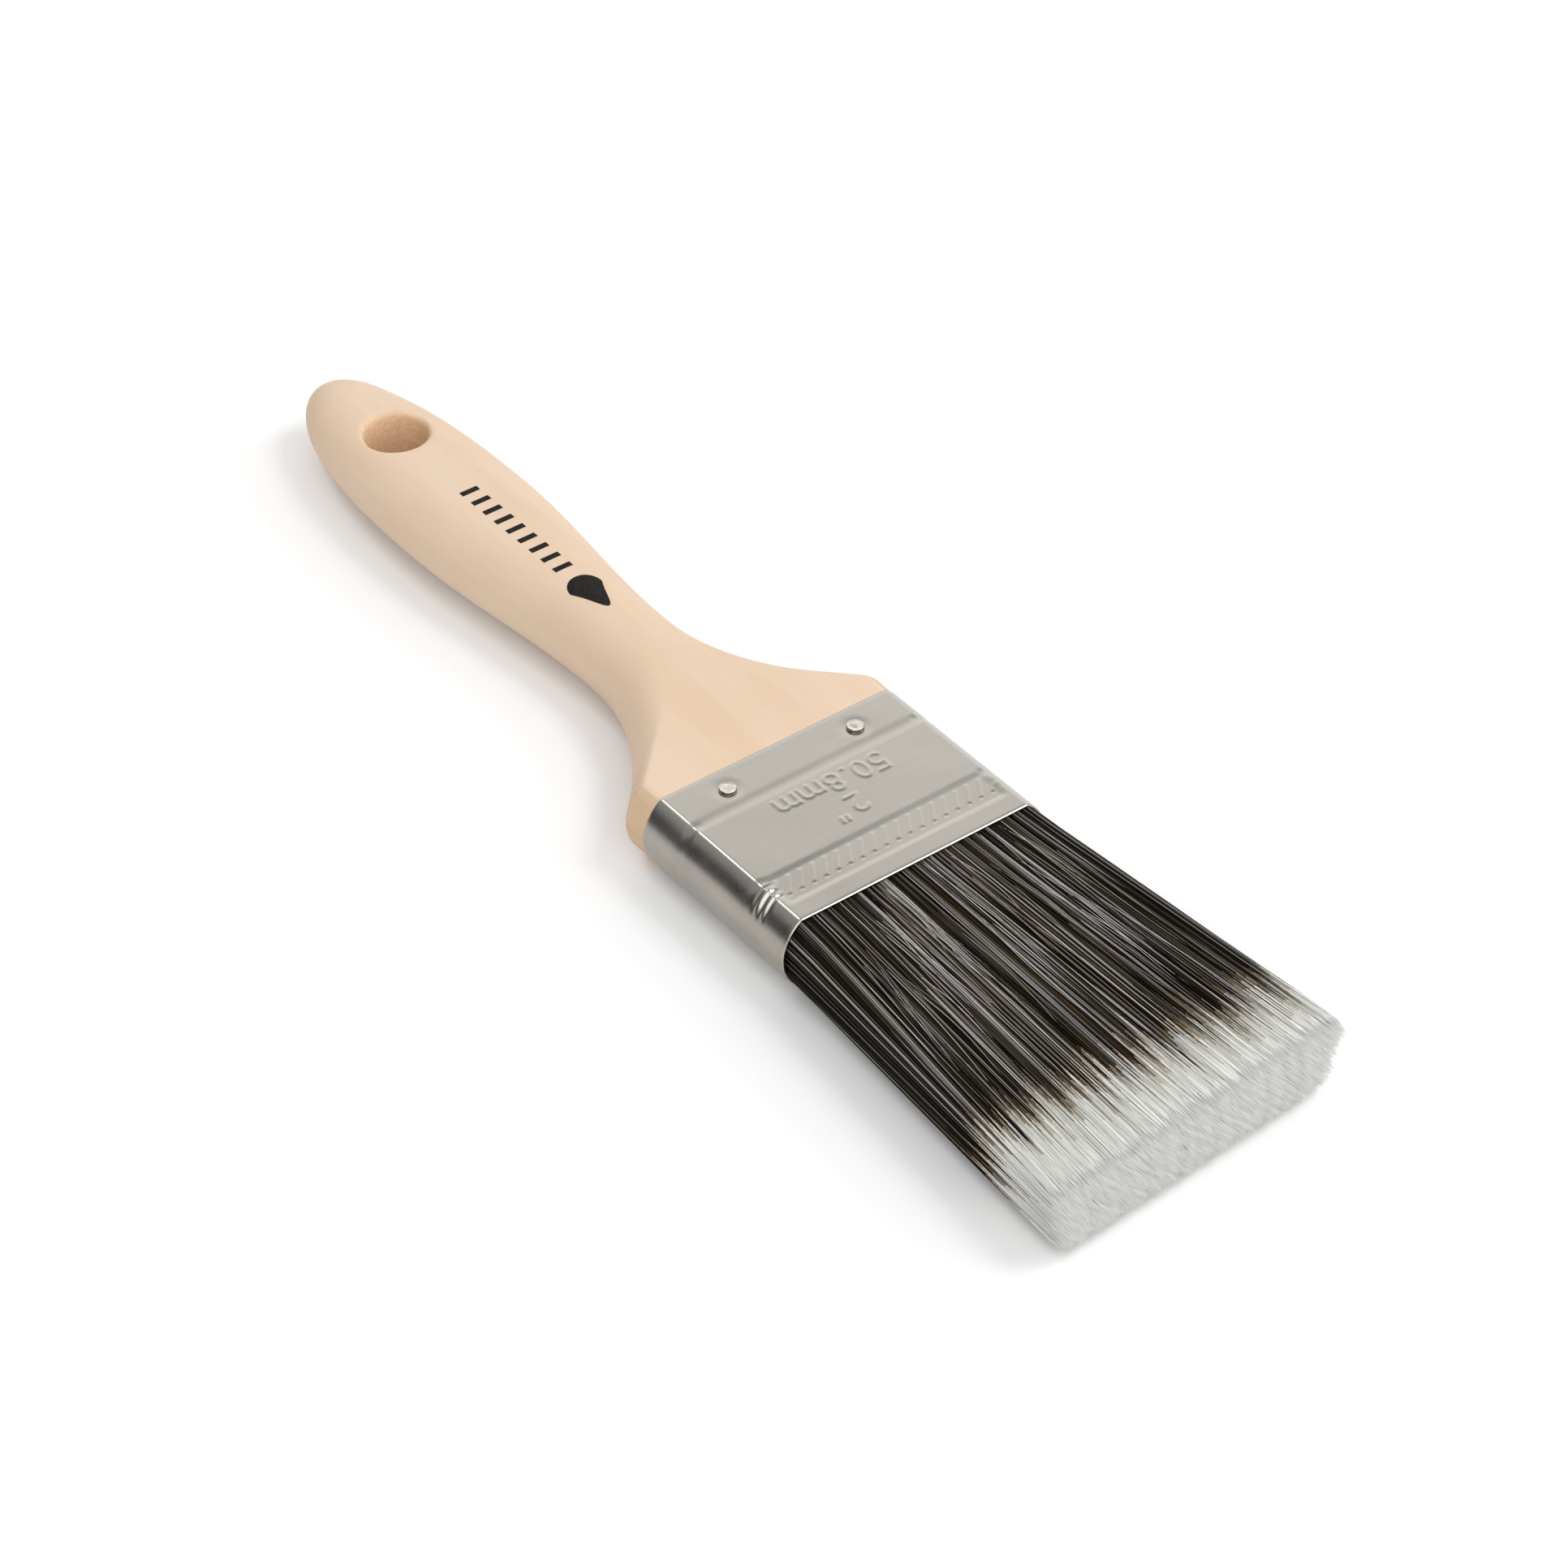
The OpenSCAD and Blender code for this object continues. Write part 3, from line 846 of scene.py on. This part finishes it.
def off_edge(q):
    """1 inside the pack, falling to 0 at its narrow sides."""
    return 1 - np.clip((np.abs(q) - 0.9) / 0.1, 0, 1)


def pack_place(x, q, r):
    """Where a filament at share q across and r through the pack lies at x, both from -1 to 1."""
    t = free_share(x)
    flat = MOUTH_FLAT + (TIP_FLAT - MOUTH_FLAT) * t
    bulge = MOUTH_BULGE + (TIP_BULGE - MOUTH_BULGE) * t
    thick = MOUTH_T + (TIP_T - MOUTH_T) * t
    power = 2.6 + 2.4 * t
    # Towards the tips the front is a little wider than the back
    y = q * (flat + bulge * (1 - np.clip(np.abs(r), 0, 1) ** power) + WIDER_FRONT * r * t)
    return y, Z_MID + r * thick


def locks(x, q, r):
    """How the filaments gather sideways into locks, and how far the valleys between locks sink."""
    t = free_share(x)
    gather = ease(t, 0.03, 0.7) * (1 - 0.8 * ease(t, 0.72, 0.95))
    # The two faces have their own locks
    place = q + np.sign(r) * 0.17 * ease(np.abs(r), 0.3, 0.8)
    sideways = across_noise(place, 21, 11, octaves=2) * 0.40 * MM * off_edge(q) * gather
    valleys = np.clip(across_noise(place, 25, 12, octaves=2), -1, 1)
    sink = (valleys * 0.30 - 0.22) * MM * r * gather
    return sideways, sink


def tip_end(q, r):
    """Where the filaments end: nearly square, with a gently wavy edge and a worn corner."""
    wavy = 0.45 * MM * across_noise(q, 8, 71) + 0.28 * MM * across_noise(q + 0.2 * r, 25, 72)
    wavy += 0.35 * MM * across_noise(r * 0.6, 6, 73) * ease(np.abs(q), 0.85, 1.0)
    chisel = np.where(r > 0, CHISEL, 0.6 * CHISEL) * np.abs(r) ** 3
    worn = 2.6 * MM * ease(q, 0.90, 1.0) * ease(-r, -0.75, 0.3)
    end = X_TIPS - 0.5 * MM - chisel - SKEW * (q + 1) / 2 - worn + wavy
    return np.minimum(end, X_TIPS - 0.05 * MM)


def strand_mesh(name, x, y, z, radius, slots, materials, random):
    """Three-sided tapered filaments in one mesh, each closed at its base and drawn to a point.

    x, y and z hold a row of places for each filament, the last one its point. slots holds the
    material of each stretch between two places.
    """
    count, rings = x.shape[0], x.shape[1] - 1
    corner = random.uniform(0, 2 * math.pi, (count, 1, 1)) + np.array([0, 2, 4]) * math.pi / 3
    places = np.stack([x, y, z], -1)
    around = np.stack([np.zeros(corner.shape), np.cos(corner), np.sin(corner)], -1)
    body = places[:, :-1, None] + radius[:, :-1, None, None] * around
    points = np.concatenate([body.reshape(count, -1, 3), places[:, -1:]], 1)
    size = rings * 3 + 1
    first = (np.arange(count) * size)[:, None, None]
    quads = first + tube_quads(rings, 3)[None]
    base = np.array([[0, 2, 1]])
    tip = cap_fan(size - 4, 3, size - 1, False)
    triangles = first + np.concatenate([base, tip])[None]
    quad_slots = np.repeat(slots[:, :-1], 3, 1).ravel()
    end_slots = np.concatenate([slots[:, :1], np.repeat(slots[:, -1:], 3, 1)], 1).ravel()
    strands = new_mesh(name, points, quads, triangles, np.concatenate([quad_slots, end_slots]))
    for material in materials:
        strands.data.materials.append(material)
    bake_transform(strands)
    return strands


def kept_inside(y, z):
    """Places held inside the pack's outline."""
    return (
        np.clip(y, -TIP_HALF_W + 0.1 * MM, TIP_HALF_W - 0.1 * MM),
        np.clip(z, Z_MID - MOUTH_T - 0.2 * MM, Z_MID + MOUTH_T + 0.2 * MM),
    )


def long_strand_slots(body, stretches, pick):
    """The material of each stretch of whole filaments: the body's tone, then the steps of its fading."""
    slots = np.repeat(body[:, None], stretches, 1)
    dark, browned, grey = body <= DARK_GREY, body <= BROWN, body <= MID_GREY
    slots[:, 6] = np.where(grey, TAUPE, WARM)
    slots[:, 6] = np.where(dark, np.where(pick[0] < 0.75, BROWN, body), slots[:, 6])
    slots[:, 7] = np.where(browned, np.where(pick[1] < 0.6, TAN, TAUPE), WARM)
    slots[:, 8] = np.where(pick[2] < 0.55, WARM, np.where(dark, TAUPE, PALE))
    slots[:, 9:] = PALE
    return slots


def make_long_strands(name, q, r, materials, random):
    """Whole filaments from inside the ferrule to their tips, dark with a faded end."""
    count = len(q)
    # The clumps carry on round the narrow sides
    around = q + 0.25 * r
    clump = 0.35 * across_noise(around, 5, 4, octaves=1) + 0.60 * across_noise(around, 15, 5)
    clump += 0.65 * across_noise(around, 45, 6)
    end = tip_end(q, r) - np.abs(random.normal(0, 1.7 * MM, count))
    tone = clump * 0.80 + random.normal(0, 0.62, count)
    lean = across_noise(q, 1.3, 8, octaves=1) * 1.0 * MM - q**2 * 2.0 * MM
    fade = X_MOUTH + FADE_L + lean - clump * 3.8 * MM + random.normal(0, 2.4 * MM, count)
    fade = np.minimum(fade, end - 6.5 * MM)
    slow = random.uniform(0.5, 1.5, count)

    rise = START_X + (fade - 6 * MM - START_X)[:, None] * np.linspace(0, 1, 6)
    after = [fade + step * slow for step in FADE_STEPS]
    after[-1] = np.minimum(after[-1], end - 2.5 * MM)
    x = np.concatenate([rise, np.stack([*after, end - 2.2 * MM, end], -1)], 1)

    y, z = pack_place(x, q[:, None], r[:, None])
    sideways, sink = locks(x, q[:, None], r[:, None])
    t = free_share(x)
    phase = random.uniform(0, 2 * math.pi, (2, count, 1))
    pace = random.uniform(0.8, 2.2, (2, count, 1)) * math.pi
    sway = random.normal(0, 0.10 * MM, (2, count, 1)) * ease(t, 0, 0.4)
    drift = random.normal(0, 0.42 * MM, (count, 1)) * t
    y += sideways + (sway[0] * np.sin(phase[0] + pace[0] * t) + drift) * off_edge(q)[:, None]
    z += sink + sway[1] * np.sin(phase[1] + pace[1] * t) * 0.8
    # The faces round over into the end
    z[:, -2:] -= np.array([0.12, 0.5]) * MM * r[:, None]
    y, z = kept_inside(y, z)

    left = np.clip((end[:, None] - x) / (15 * MM), 0, 1)
    radius = random.uniform(0.075, 0.130, (count, 1)) * MM * (0.30 + 0.70 * left**0.7)
    pick = random.uniform(0, 1, (3, count))
    slots = long_strand_slots(np.digitize(tone, TONE_LIMITS), x.shape[1] - 1, pick)
    return strand_mesh(name, x, y, z, radius, slots, materials, random)


def make_tip_strands(materials, random):
    """The faded ends of the filaments inside the pack, which close it where it is seen from its end."""
    count = TIP_COUNT
    q, r = random.uniform(-0.99, 0.99, count), random.uniform(-0.98, 0.98, count)
    end = tip_end(q, r) - np.abs(random.normal(0, 0.6 * MM, count))
    x = end[:, None] - np.array([12.5, 2.4, 0]) * MM * random.uniform(0.85, 1.15, (count, 1))
    y, z = pack_place(x, q[:, None], r[:, None])
    sideways, sink = locks(x, q[:, None], r[:, None])
    y, z = kept_inside(y + sideways, z + sink)
    radius = random.uniform(0.085, 0.125, (count, 1)) * MM * np.array([1.0, 0.9, 0.0])
    shade = random.uniform(0, 1, count) + 0.25 * across_noise(q + 0.4 * r, 22, 61)
    dull_end = (shade < 0.12) | (np.abs(r) > 0.9)
    slots = np.stack([np.where(shade < 0.05, WARM, PALE), np.where(dull_end, PALE, WHITE)], 1)
    return strand_mesh("filament_tips", x, y, z, radius, slots, materials, random)


def make_strays(materials, random):
    """Single pale filaments that lie across the others at a small angle."""
    count, places = STRAY_COUNT, 9
    face = np.where(np.arange(count) < FRONT_STRAYS, 1, -1)
    begin = X_MOUTH + random.uniform(-2, 24, count) * MM
    length = random.uniform(16, 40, count) * MM
    slope = random.normal(0, 0.045, count)
    slope += np.where(random.uniform(0, 1, count) < 0.5, 0.03, -0.03)
    q = random.uniform(-0.88, 0.88, count)
    along = np.linspace(0, 1, places)
    x = np.minimum(begin[:, None] + length[:, None] * along, X_TIPS - 12 * MM)
    # Places cut off at the same x stay a hair apart
    x += np.arange(places) * 0.001 * MM
    y, z = pack_place(x, q[:, None], face[:, None] * 1.0)
    bow = random.normal(0, 0.5 * MM, (count, 1)) * np.sin(math.pi * along)
    y += slope[:, None] * (x - begin[:, None]) + bow
    rise = np.sin(math.pi * np.clip(along * 1.15, 0, 1)) * 0.22 * MM - 0.10 * MM
    z += face[:, None] * rise
    limit = pack_place(x, 0.97, 0.0)[0]
    y = np.clip(y, -limit, limit)
    radius = random.uniform(0.045, 0.075, (count, 1)) * MM * (1 - 0.6 * along**3)
    tone = random.choice([LIGHT_GREY, SILVER_AND_HIGHLIGHT, SILVER_AND_HIGHLIGHT, WARM, TAUPE], count)
    slots = np.repeat(tone[:, None], x.shape[1] - 1, 1)
    return strand_mesh("filament_strays", x, y, z, radius, slots, materials, random)


def face_shares(count, sign, random):
    """Even places across one face, most of them close to its surface."""
    q = np.clip(np.linspace(-1, 1, count) + random.normal(0, 0.010, count), -1, 1)
    return q, sign * (1 - np.abs(random.normal(0, 0.10, count)))


def edge_shares(count, random):
    """Places on both narrow sides."""
    q = np.where(np.arange(count) % 2, 1, -1) * (1 - np.abs(random.normal(0, 0.022, count)))
    return q, random.uniform(-0.97, 0.97, count)


def make_core(material):
    """A closed body inside the filaments, so that no light shows through the pack."""
    xs = np.linspace(X_MOUTH - 3 * MM, X_TIPS - SKEW - CHISEL - 8 * MM, 60)
    turn = np.linspace(0, 2 * math.pi, 96, endpoint=False)
    q, r = np.cos(turn), np.sin(turn)
    q = np.sign(q) * np.abs(q) ** 0.35
    r = np.sign(r) * np.abs(r) ** 0.7
    y, z = pack_place(xs[:, None], q[None, :] * 0.962, r[None, :] * 0.84)
    rings = np.stack([np.repeat(xs[:, None], len(turn), 1), y, z], -1)
    core = closed_tube("filament_core", rings, [[xs[0], 0, Z_MID], [xs[-1], 0, Z_MID]])
    core.data.materials.append(material)
    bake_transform(core)


def core_material():
    """Dark between the filaments near the ferrule, paler towards the tips."""
    s = Shader("filament_shadow", (0.02, 0.017, 0.014), 0.8)
    shift = s.math("MULTIPLY", s.noise((25, 900, 900), detail=2), 8 * MM)
    along = s.math("ADD", s.part(s.place, "X"), shift)
    pale = s.between(along, X_TIPS - 17 * MM, X_TIPS - 5 * MM)
    s.feed("Base Color", s.ramp(pale, [(0.0, (0.010, 0.008, 0.007)), (1.0, (0.60, 0.59, 0.57))]))
    return s.material


def make_filaments():
    """The core, both faces, the narrow sides, the cut end and the strays of the filament pack."""
    materials = [filament_material(*tone) for tone in BODY_TONES + TIP_TONES]
    make_core(core_material())
    for side, sign, seed in (("front", 1, 31), ("back", -1, 32)):
        random = np.random.default_rng(seed)
        q, r = face_shares(FACE_COUNT, sign, random)
        rows = make_long_strands("filament_" + side, q, r, materials, random)
        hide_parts("filaments_" + side)
    random = np.random.default_rng(33)
    q, r = edge_shares(EDGE_COUNT, random)
    make_long_strands("filament_edges", q, r, materials, random)
    middle = make_tip_strands(materials, np.random.default_rng(34))
    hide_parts("filaments_middle")
    make_strays(materials, np.random.default_rng(35))


# ---- the object ----

make_handle(wood_material())
make_print(ink_material())

nail_boxes = [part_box(node) for node in nail_nodes]
nail_places = {((low.x + high.x) / 2, (low.y + high.y) / 2) for low, high in nail_boxes}
make_ferrule(steel_material(), sorted(nail_places))
nail_steel = nail_material()
nail_random = np.random.default_rng(7)
for node in nail_nodes:
    make_nail(node, nail_steel, nail_random)
make_filaments()

# Inner CAD pieces: the start of their names, then their material's name, tones, roughness and grain
INNER_LOOKS = [
    ("epoxy", "epoxy_amber", (0.16, 0.07, 0.02), (0.32, 0.17, 0.06), 0.3, (400, 400, 400)),
    ("spacer", "spacer_wood", (0.42, 0.28, 0.16), (0.62, 0.45, 0.29), 0.7, (60, 900, 900)),
    ("filament_roots", "filament_root", (0.012, 0.010, 0.009), (0.09, 0.075, 0.06), 0.5, (40, 3000, 3000)),
]
for start, *look in INNER_LOOKS:
    inner_material = plain_material(*look)
    for node, cad in frame["nodes"].items():
        if node.startswith(start):
            cad.data.materials.clear()
            cad.data.materials.append(inner_material)


# ---- floor, light and camera ----


def plane(name, centre, normal, size):
    """A flat stage rectangle facing along its normal."""
    turn = Vector(normal).to_track_quat("Z", "Y").to_matrix()
    half_x, half_y = size[0] / 2, size[1] / 2
    corners = [(-half_x, -half_y), (half_x, -half_y), (half_x, half_y), (-half_x, half_y)]
    points = [Vector(centre) + turn @ Vector((x, y, 0)) for x, y in corners]
    made = new_mesh(name, np.array([tuple(p) for p in points]), [[0, 1, 2, 3]], smooth=False)
    return made


def softbox(name, toward, distance, size, radiance):
    """A rectangular light of an even brightness, facing the ferrule from a direction."""
    aim = Vector((X_MOUTH - 15 * MM, 0, Z_MID))
    light = bpy.data.lights.new(name, "AREA")
    light.shape, light.size, light.size_y = "RECTANGLE", size[0], size[1]
    light.energy = radiance * math.pi * size[0] * size[1]
    lamp = bpy.data.objects.new(name, light)
    lamp.location = aim + Vector(toward).normalized() * distance
    lamp.rotation_mode = "QUATERNION"
    lamp.rotation_quaternion = (aim - lamp.location).to_track_quat("-Z", "Y")
    bpy.context.scene.collection.objects.link(lamp)


# Name, direction, distance, size and brightness
SOFTBOXES = [
    ("back_card", (-0.61, 0.46, 0.33), 1.6, (2.4, 1.2), 0.95),
    ("overhead", (-0.61, -0.12, 0.78), 1.5, (0.42, 0.42), 5.5),
    ("key", (0.66, -0.45, 0.62), 1.4, (1.8, 1.5), 1.65),
    ("lip_light", (0.30, 0.46, 0.84), 1.4, (0.60, 0.45), 6.0),
    ("fill", (0.45, 0.80, 0.45), 1.5, (1.1, 0.9), 2.2),
]
for box in SOFTBOXES:
    softbox(*box)

world = bpy.data.worlds.new("studio")
world.use_nodes = True
background = world.node_tree.nodes["Background"].inputs
background["Color"].default_value = (1, 1, 1, 1)
background["Strength"].default_value = 0.42
bpy.context.scene.world = world

floor = plane("floor", (0, 0, 0), (0, 0, 1), (6, 6))
floor_white = plain_material("floor_white", (0.88, 0.88, 0.88), (0.91, 0.91, 0.91), 0.9, (3, 3, 3))
floor.data.materials.append(floor_white)

# Black cards that are seen only in reflections, one upright beside the brush and one on the floor
flag_black = plain_material("flag_black", (0.02, 0.02, 0.02), (0.03, 0.03, 0.03), 0.9, (4, 4, 4))
flag = plane("flag", (-0.50, -0.66, 0.20), (0.61, 0.79, 0), (1.3, 0.40))
low_flag = plane("low_flag", (-0.45, -0.525, 0.0004), (0, 0, 1), (0.8, 0.94))
for card in (flag, low_flag):
    card.data.materials.append(flag_black)
    card.visible_camera = False
    card.visible_diffuse = False
    card.visible_shadow = False

CAMERA_TARGET = Vector((X_MOUTH - 33.1 * MM, 0, Z_MID))
CAMERA_DISTANCE = 733.5 * MM
CAMERA_AZIMUTH, CAMERA_ELEVATION, CAMERA_ROLL = 53.0, 40.0, -0.38

camera_data = bpy.data.cameras.new("camera")
camera_data.lens, camera_data.sensor_width = 108, 36
camera = bpy.data.objects.new("camera", camera_data)
azimuth, elevation = math.radians(CAMERA_AZIMUTH), math.radians(CAMERA_ELEVATION)
level = math.cos(elevation)
back = Vector((math.sin(azimuth) * level, -math.cos(azimuth) * level, math.sin(elevation)))
camera.location = CAMERA_TARGET + back * CAMERA_DISTANCE
camera.rotation_mode = "QUATERNION"
roll = Matrix.Rotation(math.radians(CAMERA_ROLL), 3, "Z").to_quaternion()
camera.rotation_quaternion = (-back).to_track_quat("-Z", "Y") @ roll
bpy.context.scene.collection.objects.link(camera)
bpy.context.scene.camera = camera
bpy.context.scene.view_settings.view_transform = "Standard"
